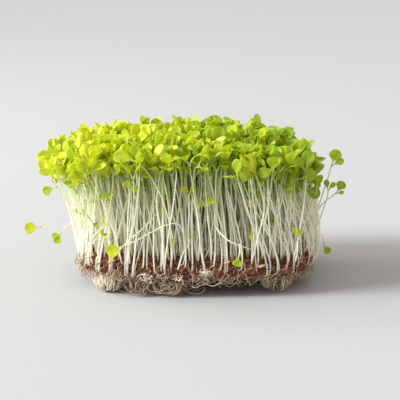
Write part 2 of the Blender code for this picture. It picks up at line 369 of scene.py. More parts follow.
def fibreFinish():
    finish = Finish("coirFibre", Roughness=0.7, Specular_IOR_Level=0.3)
    tone = finish.mark("tone")
    streak = finish.grain(600.0, 2.0)
    body = finish.blend(finish.step(tone, 0.1, 0.6), fibrePaint["dark"], fibrePaint["rust"])
    body = finish.blend(finish.step(tone, 0.6, 1.0), body, fibrePaint["orange"])
    body = finish.blend(finish.step(streak, 0.4, 0.8) * 0.5, body, fibrePaint["dark"])
    finish.paint(body, 0.55 + streak * 0.3)
    finish.emboss(streak, 0.4, 0.0002)
    return finish


rootPaint = {
    "shade": rgb(0.085, 0.046, 0.026),
    "tan": rgb(0.42, 0.29, 0.175),
    "cream": rgb(0.80, 0.68, 0.50),
    "white": rgb(0.88, 0.82, 0.70),
}


def rootFinish(name, lift=0.0):
    finish = Finish(name, Roughness=0.55, Specular_IOR_Level=0.35)
    tone = finish.mark("tone") + lift
    stain = finish.grain(240.0, 4.0)
    body = finish.blend(finish.step(tone, 0.0, 0.35), rootPaint["shade"], rootPaint["tan"])
    body = finish.blend(finish.step(tone, 0.3, 0.7), body, rootPaint["cream"])
    body = finish.blend(finish.step(tone, 0.7, 1.0), body, rootPaint["white"])
    body = finish.blend(finish.step(stain, 0.5, 0.75) * 0.45, body, rootPaint["tan"])
    finish.paint(body, 0.45 + stain * 0.25)
    finish.emboss(stain, 0.3, 0.0003)
    return finish


hullPaint = {
    "black": rgb(0.018, 0.012, 0.010),
    "brown": rgb(0.13, 0.065, 0.03),
    "gold": rgb(0.55, 0.33, 0.12),
}


def hullFinish():
    finish = Finish("seedHull", Roughness=0.4, Specular_IOR_Level=0.5)
    tone, along = finish.mark("tone"), finish.mark("along")
    ridges = finish.grain(900.0, 2.0, (1.0, 1.0, 0.2))
    body = finish.blend(finish.step(tone, 0.35, 0.65), hullPaint["black"], hullPaint["brown"])
    body = finish.blend(finish.step(tone, 0.75, 0.95), body, hullPaint["gold"])
    body = finish.blend(finish.step(ridges + along * 0.1, 0.5, 0.8) * 0.5, body, hullPaint["brown"])
    finish.paint(body, 0.3 + ridges * 0.3)
    finish.emboss(ridges, 0.5, 0.0002)
    return finish


leafLook, stemLook, fibreLook, hullLook = leafFinish(), stemFinish(), fibreFinish(), hullFinish()
coirLook, crumbLook = coirFinish("coirMat", 0.0), coirFinish("coirCrumb", 0.06)
# the root web and the cores of the feet get a lift of -0.22, down to nearly the shade colour: painted shade
# in the gaps between the strands over them
rootLook, shadedCoreLook = rootFinish("fineRoot"), rootFinish("rootWeb", -0.22)
print("finishes made")


seedLeaf = {
    "rings": 12,
    "sides": 12,
    "petiole": 0.00042,  # half thickness of its stalk
    "blade": 0.00017,  # half thickness of the blade
    "neck": 0.26,  # where the blade starts to open, as a share of the length
    "widest": 0.70,
}


def bladeWidth(share):
    neck, widest = seedLeaf["neck"], seedLeaf["widest"]
    if share <= neck:
        return 0.0
    if share < widest:
        return (0.5 - 0.5 * cos(pi * (share - neck) / (widest - neck))) ** 0.85
    return sqrt(max(0.0, 1 - ((share - widest) / (1 - widest)) ** 2))


def addLeaf(sheaf, base, stand, out, length, width, lean, cup, twist, tone, face=None):
    # stand and out span the plane that the leaf bends in
    # lean is its angle from stand at its base and at its tip; face, if given, is where its upper side looks
    count, sides = seedLeaf["rings"], seedLeaf["sides"]
    turns = [(cos(a), sin(a)) for a in (fullTurn * k / sides for k in range(sides))]
    stand = stand.normalized()
    out = (out - stand * out.dot(stand)).normalized()
    level = stand.cross(out)
    rings, alongs, point, past = [], [], base.copy(), 0.0
    for k in range(count):
        share = sin(0.5 * pi * k / (count - 1)) ** 0.9
        angle = lean[0] + (lean[1] - lean[0]) * share**1.3
        heading = stand * cos(angle) + out * sin(angle)
        point = point + heading * (length * (share - past))
        past = share
        opened = bladeWidth(share)
        turned = twist * (0.4 + 0.6 * share)
        side = level * cos(turned) + heading.cross(level) * sin(turned)
        if face is not None:
            side = face.cross(heading).normalized()
        face = heading.cross(side)  # the next ring carries on from this one
        half = seedLeaf["petiole"] * (1 - opened) * (1 - 0.6 * share) + width / 2 * opened
        flat = min(1.0, opened * 2.5)
        thick = seedLeaf["petiole"] * (1 - flat) + seedLeaf["blade"] * flat
        thick *= 1 - 0.7 * max(0.0, share - 0.9) / 0.1
        rise = cup * width * opened
        wave = 0.06 * width * opened
        outline = []
        for c, s in turns:
            lift = s * thick + rise * (c * c - 0.4) + wave * sin(7 * share + 3 * c)
            outline.append(point + side * (c * half) + face * lift)
        rings.append(outline)
        alongs.append(share)
    sheaf.loft(rings, tone, alongs, [c for c, s in turns])


def addLump(sheaf, centre, axis, length, flat, levels, sides, radius, tone, alongs):
    # a closed lump along its axis; radius takes the share of its length and the number of the corner
    side = axis.orthogonal().normalized()
    other = axis.cross(side)
    rings = []
    for share in evenly(levels):
        spot = centre + axis * (length * (share - 0.5))
        ring = []
        for turn in range(sides):
            a = fullTurn * turn / sides
            far = radius(share, turn)
            ring.append(spot + side * (cos(a) * far) + other * (sin(a) * far * flat))
        rings.append(ring)
    sheaf.loft(rings, tone, alongs)


def addHull(sheaf, centre, axis, length, width, tone):
    levels, sides = 7, 8

    def ribbed(share, turn):
        radius = width / 2 * sin(pi * (0.06 + 0.86 * share)) ** 0.7
        return radius * (1 + 0.12 * cos(4 * (fullTurn * turn / sides)))

    addLump(sheaf, centre, axis, length, 0.62, levels, sides, ribbed, tone, evenly(levels))


def addCrumb(sheaf, rng, centre, size):
    axis = anyDirection(rng)
    seed, levels = rng.uniform(0, 50), 5

    def lumpy(share, turn):
        radius = size * sin(pi * (0.12 + 0.76 * share))
        return radius * (1 + 0.45 * ripple(seed, turn * 1.3, share * (levels - 1) * 1.1))

    addLump(sheaf, centre, axis, size * 1.6, 0.7, levels, 6, lumpy, rng.random(), [0.5] * levels)


def addStem(sheaf, path, radius, tone):
    sheaf.strand(path, lambda share: radius * (1.15 - 0.36 * share), 6, tone)


leafPair = {
    "apart": 0.35,  # how far the two leaves stray from opposite ways, in radians
    "rise": (-0.1, 0.25),
    "open": (0.12, 0.50),
    "leastDroop": 0.15,
    "size": (0.84, 1.08),
    "broad": (0.88, 1.08),
    "shade": 0.2,
    "cup": (0.02, 0.30),
    "twist": 0.7,
}


def addSeedling(stems, leaves, rng, path, radius, length, width, tone, droop):
    addStem(stems, path, radius, rng.random())
    tip = path[-1]
    stand = (path[-1] - path[-3]).normalized()
    turn = rng.uniform(0, fullTurn)
    for pair in range(2):
        around = turn + pair * pi + rng.uniform(-leafPair["apart"], leafPair["apart"])
        out = Vector((cos(around), sin(around), rng.uniform(*leafPair["rise"])))
        first = rng.uniform(*leafPair["open"])
        lean = (first, first + rng.uniform(leafPair["leastDroop"], droop))
        size = rng.uniform(*leafPair["size"])
        shade = min(1.0, max(0.0, tone + rng.uniform(-leafPair["shade"], leafPair["shade"])))
        broad = width * size * rng.uniform(*leafPair["broad"])
        cup = rng.uniform(*leafPair["cup"])
        twist = rng.uniform(-leafPair["twist"], leafPair["twist"])
        addLeaf(leaves, tip - stand * 0.0004, stand, out, length * size, broad, lean, cup, twist, shade)


tuft = {
    "seed": 7,
    "columns": 5,
    "rows": 4,
    "across": 10,  # seedlings along a cell's side
    "deep": 9,
    "height": (0.0742, 0.0864),  # where the seed leaves part
    "lowLeft": 0.0075,  # how much lower some are at the left
    "radius": (0.00026, 0.00053),
    "leafLength": (0.0104, 0.0164),
    "leafWidth": (0.0046, 0.0082),
    "lean": 0.0046,
    "wayward": (0.17, 2.3),  # share that lean more, and how much more
    "drift": (0.0065, 0.0050),  # how far whole groups lean, along x and along y
    "swing": 0.0016,
    "bend": 0.30,  # where a stem bends, as a share of its height from either end
    "hooked": 0.46,  # share at the edge that come out of the mat's side
    "arching": 0.12,  # share whose tip bends over
    "short": 0.055,  # share of late seedlings
    "lateHeight": (0.010, 0.046),  # above the mat
    "lateSize": 0.42,
    "tone": (0.60, 0.37, 0.16),  # in the middle, how much deeper at the right, and its spread; the slope is painted light at the left and painted shade at the right
    "droop": (0.95, 1.35),  # at the front, and elsewhere
    "steps": 13,
}

# A stem that comes out of the side of the mat and turns up over its edge
hookShape = {"turn": 0.03, "bend": (-0.022, 0.030), "out": (0.0004, 0.0030), "up": (0.008, 0.018)}


def crownHeight(u, v):
    dip = 0.0050 * abs(u) ** 4 + 0.0075 * max(0.0, u) ** 3 + 0.0006 * abs(v) ** 3
    return -dip + 0.0026 * ripple(u * 2.3, v * 2.3, 4.0)


def stemPath(rng, u, v, top, hooked, arching):
    share, more = tuft["wayward"]
    lean = tuft["lean"] * (more if rng.random() < share else 1.0)
    root = middle + ground(u, v) * 0.985 + up * (coirTop - 0.0012)
    crown = inStand(u, v, top)
    crown.x += rng.gauss(0, lean) + tuft["drift"][0] * ripple(u * 4.2, v * 3.4, 1.0)
    crown.y += rng.gauss(0, lean) + tuft["drift"][1] * ripple(u * 4.2, v * 3.4, 7.0)
    for axis, (least, most) in enumerate(standShape["limits"]):
        crown[axis] = middle[axis] + min(most, max(least, crown[axis] - middle[axis]))
    part = up * ((top - coirTop) * tuft["bend"])
    swing = Vector((rng.gauss(0, tuft["swing"]), rng.gauss(0, tuft["swing"]), 0))
    rise = root + swing + part
    foot, hook = root, []
    if hooked:
        angle = atan2(v * matHalf.y, u * matHalf.x) + rng.gauss(0, hookShape["turn"])
        low, bend = rng.uniform(coirBottom, coirTop - 0.002), rng.gauss(*hookShape["bend"])
        hook = [rim(angle + bend, 0.0030, low - 0.001), rim(angle + bend * 0.7, 0.0002, low - 0.0004)]
        foot = rim(angle + bend * 0.3, -0.0012, low + 0.0008)
        rise = foot + outwards(angle) * rng.uniform(*hookShape["out"]) + up * rng.uniform(*hookShape["up"])
        rise.x -= bend * 0.05
    away = Vector((crown.x - root.x, crown.y - root.y, 0))
    before = crown - away * 0.28 - swing - part
    bulge = rng.uniform(-0.001, 0.010) * max(0, u - 0.75) * 4
    rise.x, before.x = rise.x + bulge * 0.6, before.x + bulge * 0.7
    if arching:
        over = Vector((rng.gauss(-0.3, 0.7), rng.gauss(-0.6, 0.5), 0)).normalized()
        crown += up * 0.0025
        before = crown + up * rng.uniform(0.004, 0.009) - over * rng.uniform(0.003, 0.007)
    path = hook + curve(foot, rise, before, crown, tuft["steps"])
    phase, size = rng.uniform(0, 6.28), rng.uniform(0.0001, 0.0007)
    for share, point in zip(evenly(len(path)), path):
        sway = size * sin(pi * share)
        point.x += sway * sin(phase + 6.0 * share)
        point.y += sway * cos(phase * 1.7 + 5.0 * share)
    return path


def plantCell(rng, row, column, stems, leaves, hulls):
    for i in range(tuft["across"]):
        for j in range(tuft["deep"]):
            u = (column + (i + rng.random()) / tuft["across"]) * 2 / tuft["columns"] - 1
            v = (row + (j + rng.random()) / tuft["deep"]) * 2 / tuft["rows"] - 1
            top = rng.uniform(*tuft["height"]) + crownHeight(u, v)
            top -= rng.random() ** 2 * tuft["lowLeft"] * max(0, -u)
            length, width = rng.uniform(*tuft["leafLength"]), rng.uniform(*tuft["leafWidth"])
            # the tone slopes across the mat: painted light, yellower at the left, and painted shade, deeper
            # at the right; the gauss is the leaf's own random tone
            tone = tuft["tone"][0] - tuft["tone"][1] * u + rng.gauss(0, tuft["tone"][2])
            edge = max(abs(u), abs(v))
            late = rng.random() < tuft["short"] * (1.7 if edge > 0.8 else 1.0)
            if late:
                top = coirTop + rng.uniform(*tuft["lateHeight"])
                length, width = length * tuft["lateSize"], width * tuft["lateSize"]
            hooked = edge > 0.86 and rng.random() < tuft["hooked"] * (1 - 0.45 * max(0, u))
            path = stemPath(rng, u, v, top, hooked, not late and rng.random() < tuft["arching"])
            radius = rng.uniform(*tuft["radius"]) * (1.15 if hooked else 1.0)
            atFront, elsewhere = tuft["droop"]
            droop = elsewhere if v > -0.7 else atFront
            addSeedling(stems, leaves, rng, path, radius, length, width, tone, droop)
            if late and rng.random() < 0.5:  # its seed hull is still on
                slip = Vector((rng.gauss(0, 0.0012), rng.gauss(0, 0.0012), rng.uniform(0.001, 0.003)))
                axis = anyDirection(rng)
                long, wide = rng.uniform(0.002, 0.0032), rng.uniform(0.0009, 0.0014)
                addHull(hulls, path[-1] + slip, axis, long, wide, rng.uniform(0, 0.8))


def plantTufts():
    rng = random.Random(tuft["seed"])
    hulls = Sheaf()
    for row in range(tuft["rows"]):
        for column in range(tuft["columns"]):
            stems, leaves = Sheaf(), Sheaf()
            plantCell(rng, row, column, stems, leaves, hulls)
            name = f"{row + 1}_{column + 1}"
            settle(stems.build(f"stalks_{name}", stemLook), "stem", f"stems_{name}")
            settle(leaves.build(f"greens_{name}", leafLook), "leaf", f"leaves_{name}")
    settle(hulls.build("caughtHulls", hullLook), "seedling")
    print("tufts planted")


plantTufts()


# A seedling given one by one has its stem's points and its leaves in millimetres, from the middle of the
# mat
def leaf(out, length, width, lean, tone, face="usual"):
    return {"out": out, "length": length, "width": width, "lean": lean, "tone": tone, "face": face}


def grown(stem, *leaves, radius=None):
    return {"stem": stem, "leaves": leaves, "radius": radius}


def growByHand(stems, blades, rng, plant, style):
    path = through([onMat(*point) for point in plant["stem"]], style["steps"])
    addStem(stems, path, plant["radius"] or style["radius"], rng.random())
    heading = (path[-1] - path[-2]).normalized()
    for blade in plant["leaves"]:
        out = Vector(blade["out"])
        if abs(out.normalized().dot(heading)) > style["straightest"]:
            out = out + Vector((0, -0.5, 0.2))
        look = style["face"] if blade["face"] == "usual" else blade["face"]
        face = Vector(look) if look else None
        base, size = path[-1] - heading * 0.0003, (blade["length"] / 1000, blade["width"] / 1000)
        addLeaf(blades, base, heading, out, *size, blade["lean"], style["cup"], 0.0, blade["tone"], face)


# straightest: how nearly a leaf may lie along its stem before it is turned to the front; above 1, never
strayStyle = {
    "seed": 19, "steps": 4, "radius": 0.00050, "cup": 0.1, "straightest": 0.97, "face": (0.1, -1, 0.3),
}

# The strays' leaf tones are high at the left and low at the right: painted light at the left, painted shade
# at the right
strays = {
    "stray_far_left": grown(
        [
            (-70, -14, 24), (-71, -14.5, 31), (-75, -15.2, 35),
            (-83, -17, 37.0), (-91, -19.5, 37.4), (-99, -20, 36.8),
        ],
        leaf((-1, 0, -0.1), 11.0, 7.8, (0.0, 0.1), 0.9),
        radius=0.00032,
    ),
    "stray_left_high": grown(
        [(-70, -5, 27), (-76, -5, 43), (-81, -5, 57), (-85, -5, 69), (-88.5, -5, 77), (-90, -5.5, 80.5)],
        leaf((-1, -0.1, 0.0), 12, 8.6, (0.7, 2.2), 0.75),
        leaf((0.7, 0.5, 0.0), 13, 7.2, (0.5, 1.9), 0.5),
    ),
    "stray_left_pair": grown(
        [(-68, 5, 27), (-75, 5, 50), (-81, 5, 67), (-85, 5, 78), (-86.5, 5, 83)],
        leaf((-1, -0.1, 0.0), 11, 7.0, (0.5, 1.4), 0.45),
        leaf((-0.8, 0.4, -0.3), 10, 6.2, (1.0, 1.9), 0.55),
    ),
    "stray_left_back": grown(
        [(-66, 33, 27), (-77, 35, 35), (-87, 35, 43), (-92, 35, 48), (-95, 35, 51)],
        leaf((-1, 0, -0.2), 10, 6.4, (0.9, 1.5), 0.5),
        leaf((0.3, 0, 1.0), 8, 5.0, (0.5, 0.9), 0.5),
        radius=0.00034,
    ),
    "stray_left_low": grown(
        [(-67, 34, 27), (-76, 35, 30), (-84, 35, 27), (-90, 35, 23), (-92.5, 35, 19.5)],
        leaf((-0.4, 0, -1.0), 8.5, 5.6, (0.2, 0.5), 0.6),
        leaf((-1, 0, 0.3), 7.5, 5.2, (0.4, 0.5), 0.6),
        radius=0.00030,
    ),
    "stray_front_left": grown(
        [
            (-8, -52, 27), (-8, -58, 41), (-11, -64, 49), (-17.8, -67, 49.4),
            (-26.5, -69, 45.6), (-35.4, -70, 40.8), (-43.5, -70, 37.2),
        ],
        leaf((-0.9, 0, -0.55), 11.5, 8.8, (0.0, 0.1), 0.8),
        radius=0.00036,
    ),
    "stray_front_fallen": grown(
        [(11, -54, 47), (12, -57, 45.5), (15, -62, 42.5), (20, -66, 39), (26, -66.5, 36.5), (33, -66, 34)],
        radius=0.00042,
    ),
    "stray_front_drop": grown(
        [(26, -52, 31), (26.4, -58, 35), (26.5, -63, 35), (26.2, -66, 32), (25.8, -66, 30)],
        leaf((-0.1, 0, -1.0), 7.5, 6.2, (0.0, 0.1), 0.75),
    ),
    "stray_right_high": grown(
        [(71, -6, 27), (75.7, -5.5, 35), (80, -5, 50), (84.5, -5, 65), (86.8, -5, 73.5)],
        leaf((0.3, -0.1, 1.0), 12, 8.4, (0.1, 0.3), 0.3),
        leaf((1, -0.1, 0.1), 9, 4.6, (0.6, 1.1), 0.3),
    ),
    "stray_right_mid": grown(
        [(70, 15, 27), (78, 15, 35), (83, 15, 43.5), (89, 15, 48.6), (92.2, 15, 51.2)],
        leaf((0.1, -0.1, 1.0), 9.5, 6.8, (0.3, 0.5), 0.3),
        leaf((1, 0, 0.1), 5.5, 2.8, (0.4, 0.7), 0.4),
    ),
    "stray_right_sprout": grown(
        [(70, -15, 27), (77, -15, 36), (81, -15, 47), (83.5, -15, 55), (84, -15, 59.5)],
        leaf((-1, -0.1, 0), 7.5, 3.8, (0.2, 0.5), 0.2),
        leaf((1, -0.1, 0), 7.0, 3.4, (0.4, 0.9), 0.3),
    ),
    "stray_right_low": grown(
        [(70, 16, 23), (75, 17, 27), (80, 17, 26), (84, 17, 21), (85, 17, 16)],
        leaf((0.4, -0.2, -0.6), 7.5, 5.2, (0.2, 0.9), 0.35),
        radius=0.00030,
    ),
}


def plantStrays():
    rng = random.Random(strayStyle["seed"])
    for name, plant in strays.items():
        stems, blades = Sheaf(), Sheaf()
        growByHand(stems, blades, rng, plant, strayStyle)
        settle(stems.build(f"{name}_stem", stemLook), "seedling", name)
        if plant["leaves"]:
            settle(blades.build(f"{name}_leaves", leafLook), "seedling")
    print("strays planted:", len(strays))


plantStrays()

frontStyle = {
    "seed": 29, "steps": 5, "radius": 0.00040, "cup": 0.12, "straightest": 1.01, "face": (0, -1, 0.4),
}

# Seedlings of the front and the crown that catch the eye; a leaf with no face of its own arches freely
frontRow = {
    "tallSpoon": grown(
        [(12, -20, 24), (12, -20, 50), (13, -18, 70), (14, -14, 84)],
        leaf((-0.2, -0.2, 1), 17, 9.4, (0.1, 0.25), 0.45, (0.1, -1, 0.4)),
        leaf((0.8, -0.2, 1), 12, 7.5, (0.4, 1.0), 0.6),
    ),
    "brightPair": grown(
        [(34, -54, 22), (37, -59, 38), (41, -61, 58), (37, -62, 76)],
        leaf((-0.6, -0.2, 1), 19, 8.0, (0.2, 0.5), 1.0, (0.1, -1, 0.4)),
        leaf((-0.2, -0.3, 1), 17, 6.4, (-0.5, -0.1), 0.95, (0.6, -1, 0.2)),
    ),
    "lyingSpoon": grown(
        [(-13, -54, 22), (-15, -59, 42), (-20, -61, 62), (-27, -62, 77), (-34, -62, 86)],
        leaf((-1, 0, 0.1), 17, 8.4, (0.3, 1.0), 0.72, (-0.2, -1, 0.8)),
        leaf((-0.2, 0.4, 1), 12, 7.0, (0.2, 0.8), 0.6, (0.2, -1, 0.6)),
    ),
    "paleAndYellow": grown(
        [(-16, -34, 24), (-17, -34, 50), (-19, -32, 72), (-20, -30, 83)],
        leaf((-0.3, 0, 1), 15, 8.6, (0.1, 0.3), 0.75, (0.3, -1, 0.4)),
        leaf((0.6, 0, 1), 17, 5.6, (0.2, 0.5), 1.0, (0.2, -1, 0.3)),
    ),
    "archedPair": grown(
        [(1, -55, 22), (2, -59, 42), (-1, -61, 64), (-4, -61, 84)],
        leaf((-1, -0.3, 0), 19, 6.4, (0.0, 2.9), 0.8, None),
        leaf((1, -0.3, 0), 18, 6.0, (0.1, 2.6), 0.7, None),
    ),
    "archedLeft": grown(
        [(-19, -55, 22), (-21, -60, 42), (-24, -61, 60), (-22, -61, 79)],
        leaf((1, -0.2, 0), 17, 7.4, (0.1, 2.3), 0.7, None),
        leaf((0.5, -0.8, 0), 14, 6.6, (0.3, 2.0), 0.55, None),
    ),
    "leftSpoon": grown(
        [(-46, -54, 22), (-50, -58, 42), (-57, -60, 62), (-64, -60, 76)],
        leaf((-0.5, -0.2, 1), 15, 9.0, (0.1, 0.5), 0.9, (0.1, -1, 0.5)),
        leaf((-1, -0.4, 0), 13, 7.6, (0.6, 1.5), 0.75, (0, -1, 0.7)),
    ),
    "crownRound": grown(
        [(12, 44, 24), (12, 44, 50), (12, 46, 74), (12, 48, 87)],
        leaf((0.1, 0, 1), 11.5, 9.2, (0.0, 0.1), 0.55),
        leaf((-1, 0, 0.3), 11, 7.6, (0.5, 1.2), 0.5, (0, -1, 0.8)),
    ),
    "rightSpoon": grown(
        [(60, -50, 22), (63, -54, 42), (66, -54, 64), (67, -50, 78)],
        leaf((0.2, -0.2, 1), 14, 8.4, (0.1, 0.4), 0.2, (-0.1, -1, 0.5)),
        leaf((-1, -0.3, 0.2), 12, 7.2, (0.5, 1.3), 0.35, (0, -1, 0.7)),
    ),
    "sproutA": grown(
        [(-4, -55, 22), (-5, -58, 40), (-4.4, -60, 58), (-4.4, -60, 67)],
        leaf((-1, -0.2, 0.4), 6, 4.4, (0.5, 1.2), 0.7),
        leaf((1, -0.2, 0.5), 6, 4.6, (0.5, 1.1), 0.6),
    ),
    "sproutB": grown(
        [(9, -55, 22), (9, -58, 36), (7, -60, 50), (6.4, -60, 59)],
        leaf((-1, -0.2, 0.2), 6, 4.2, (0.6, 1.5), 0.6, (0, -1, 0.5)),
        leaf((1, -0.2, 0.4), 7, 5.0, (0.4, 1.0), 0.65),
    ),
    "sproutC": grown(
        [(-41, -55, 22), (-42, -58, 42), (-41, -60, 60), (-40, -60, 69)],
        leaf((-1, -0.2, 0.6), 7, 5.0, (0.4, 0.9), 0.8),
        leaf((1, -0.2, 0.0), 6, 4.0, (0.7, 1.6), 0.6),
    ),
    "sproutD": grown(
        [(-53, -54, 22), (-54, -57, 40), (-55, -60, 55), (-55, -60, 63)],
        leaf((-1, -0.2, 0.3), 5.5, 4.0, (0.5, 1.3), 0.6),
        leaf((1, -0.2, 0.6), 5.5, 3.6, (0.3, 0.9), 0.5),
    ),
    "sproutE": grown(
        [(-16, -56, 22), (-15, -58, 27), (-15, -58.5, 32), (-14.9, -58.5, 35)],
        leaf((0.3, 0, 1), 4.5, 2.6, (0.1, 0.4), 1.0, (0, -1, 0.3)),
    ),
    "sproutF": grown(
        [(34, -55, 22), (34, -58, 28), (34, -58.5, 34), (33.9, -58.5, 37)],
        leaf((-0.3, 0, 1), 4.5, 2.4, (0.1, 0.4), 0.9, (0, -1, 0.3)),
    ),
    "sproutG": grown(
        [(61, -51, 22), (62, -55, 30), (62, -55, 36), (62, -55, 39)],
        leaf((-0.6, 0, 1), 6.5, 3.6, (0.2, 0.6), 0.8, (0, -1, 0.3)),
        leaf((0.9, 0, 1), 5.5, 3.0, (0.3, 0.9), 0.6, (0, -1, 0.3)),
    ),
}


def plantFrontRow():
    rng = random.Random(frontStyle["seed"])
    stalks, blades = Sheaf(), Sheaf()
    for plant in frontRow.values():
        growByHand(stalks, blades, rng, plant, frontStyle)
    settle(stalks.build("frontRow_stems", stemLook), "seedling")
    settle(blades.build("frontRow_leaves", leafLook), "seedling")
    print("front row planted")


plantFrontRow()


coirBlock = {
    "seed": 3,
    "around": 260,
    "rough": 0.0015,
    "corner": 0.0022,
    "sideSteps": 9,
    "fibres": 1250,
    "fibresOnTop": 0.35,
    "fibreLength": (0.004, 0.017),
    "fibreRadius": (0.00008, 0.00021),
    "crumbs": 760,
    "crumbsOnTop": 0.45,
    "crumbSize": (0.0004, 0.0013),
    "shards": 46,  # bigger flakes of husk that stand up at the rim
    "shardSize": (0.0012, 0.0024),
    "hulls": 110,
    # listed in millimetres from the middle of the mat; a flake's last value is its size
    "flakes": ((-63, -56.5, 27.5, 2.6), (-17, -56.5, 19, 2.0), (-9, -56.5, 18, 2.2), (66, -52, 25, 2.4)),
    "goldHulls": ((18.7, -57.5, 23.5), (-52, -56.5, 24), (40, -57, 21)),
    "hair": ((-66, -60, 54), (-65, -60, 52), (-63, -60, 49.5), (-61.8, -60, 45.5)),
}


def coirSection():  # the block's section from the middle of its top to the middle of its underside
    corner, low, high, steps = coirBlock["corner"], coirBottom, coirTop, coirBlock["sideSteps"]
    insets = (0.99, 0.85, 0.7, 0.55, 0.4, 0.3, 0.2, 0.14, 0.09, 0.06)
    bends, draw = (0.5, 1.0, 1.57), 0.028  # the corner's angles, and how far it draws in
    section = [(1 - inset, high) for inset in insets]
    section += [(1.0 - draw * (1 - sin(a)), high - corner * (1 - cos(a))) for a in bends]
    section += [(1.0, high - corner - (high - low - 2 * corner) * k / steps) for k in range(1, steps)]
    section += [(1.0 - draw * (1 - sin(a)), low + corner * (1 - cos(a))) for a in reversed(bends)]
    section += [(1 - inset, low) for inset in reversed(insets)]
    return section


def buildBlock():
    block, rings = Sheaf(), []
    for share, z in reversed(coirSection()):
        lift = up * (1 - share**6) * (1 if z > (coirTop + coirBottom) / 2 else -1)

        def crumble(spot, angle):
            bulge = noise.fractal(spot * 95, 0.8, 2.1, 4) + 0.7 * noise.noise(spot * 420)
            outward = outwards(angle) * (share**6)
            return spot + (outward * 1.2 + lift * 0.6) * (bulge * coirBlock["rough"])

        rings.append(matRing(coirBlock["around"], share, z, crumble))
    block.loft(rings, 0.5)
    settle(block.build("coirBlock", coirLook), "coir", "coir_mat")


def buildFibres(rng):
    fibres, steps = Sheaf(), 7
    for k in range(coirBlock["fibres"]):
        angle = rng.uniform(0, fullTurn)
        onTop = rng.random() < coirBlock["fibresOnTop"]
        z = coirTop + 0.0002 if onTop else rng.uniform(coirBottom - 0.001, coirTop + 0.0008)
        inset = rng.uniform(0.0, 0.03) if onTop else rng.uniform(-0.0014, 0.0006)
        length, slope = rng.uniform(*coirBlock["fibreLength"]), rng.gauss(0, 0.35)
        bow = rng.gauss(0, 0.0012)
        path = []
        for step in range(steps):
            t = step / (steps - 1) - 0.5
            shift = length * t
            out = inset - bow * (0.25 - t * t) * 4 + 0.0004 * ripple(k * 3.1, step * 0.7, 0)
            high = z + shift * slope + bow * sin(5 * t)
            path.append(rim(angle + shift / matShape["meanRadius"], out, high))
        thick = rng.uniform(*coirBlock["fibreRadius"])
        fibres.strand(path, lambda s: thick * (1.1 - 0.7 * abs(2 * s - 1)), 5, rng.random())
    fibres.strand(through([onMat(*spot) for spot in coirBlock["hair"]], 5), 0.00020, 5, 0.0)
    settle(fibres.build("coirFibres", fibreLook), "coir")


def buildCrumbs(rng):
    crumbs = Sheaf()
    for k in range(coirBlock["crumbs"]):
        angle = rng.uniform(0, fullTurn)
        onTop = rng.random() < coirBlock["crumbsOnTop"]
        inset = rng.uniform(0, 0.035) if onTop else rng.uniform(-0.0008, 0.0006)
        z = coirTop + rng.uniform(-0.0002, 0.0008) if onTop else rng.uniform(coirBottom, coirTop)
        addCrumb(crumbs, rng, rim(angle, inset, z), rng.uniform(*coirBlock["crumbSize"]))
    for k in range(coirBlock["shards"]):
        angle = rng.uniform(0, fullTurn)
        spot = rim(angle, rng.uniform(-0.0006, 0.006), coirTop + rng.uniform(-0.001, 0.002))
        addCrumb(crumbs, rng, spot, rng.uniform(*coirBlock["shardSize"]))
    for x, y, z, size in coirBlock["flakes"]:
        addCrumb(crumbs, rng, onMat(x, y, z), size / 1000)
    settle(crumbs.build("coirCrumbs", crumbLook), "coir")


def buildHulls(rng):
    hulls = Sheaf()
    for k in range(coirBlock["hulls"]):
        angle = rng.uniform(0, fullTurn)
        z = rng.uniform(coirBottom + 0.001, coirTop + 0.001)
        axis = anyDirection(rng, 0.6)
        long, wide = rng.uniform(0.002, 0.0034), rng.uniform(0.0009, 0.0014)
        addHull(hulls, rim(angle, -0.0007, z), axis, long, wide, rng.random())
    for spot in coirBlock["goldHulls"]:
        addHull(hulls, onMat(*spot), Vector((0.9, -0.1, 0.3)).normalized(), 0.0042, 0.0021, 1.0)
    settle(hulls.build("seedHulls", hullLook), "coir")


def buildCoir():
    rng = random.Random(coirBlock["seed"])
    buildBlock()
    buildFibres(rng)
    buildCrumbs(rng)
    buildHulls(rng)
    print("coir mat built")


buildCoir()


rootWeb = {
    "seed": 5,
    "around": 200,
    "rough": 0.0016,
    "strands": 250,
    "strandLength": (0.006, 0.024),
    "radius": (0.00008, 0.00021),
    "hanging": 420,
    "loops": 0.4,  # share of them that turn back up
    "bare": (-0.006, 0.036),  # stretch of the front edge that has fewer of them
    "hairs": 640,
    "hairRadius": (0.00006, 0.00015),
}


def buildWeb():
    web, rings = Sheaf(), []
    low, high = webLow.z + 0.0006, webHigh.z
    section = [(0.02, low), (0.3, low), (0.5, low), (0.7, low), (0.82, low + 0.0002), (0.89, low + 0.0006)]
    section += [(0.925, low + 0.0014), (0.94, (low + high) / 2), (0.95, high - 0.0008), (0.94, high)]
    section += [(0.8, high), (0.5, high), (0.02, high)]
    for share, z in section:

        def crumple(spot, angle):
            bulge = noise.fractal(spot * 160, 0.8, 2.1, 4) * rootWeb["rough"]
            sink = up * (min(0.0, bulge) * (z < (low + high) / 2))
            return spot + outwards(angle) * share**4 * bulge + sink

        rings.append(matRing(rootWeb["around"], share, z, crumple))
    # its tone with the finish's lift is nearly the shade colour: a dark sheet of painted shade under the
    # fringe of strands
    web.loft(rings, 0.25)
    settle(web.build("rootWeb", shadedCoreLook), "root", "root_layer")


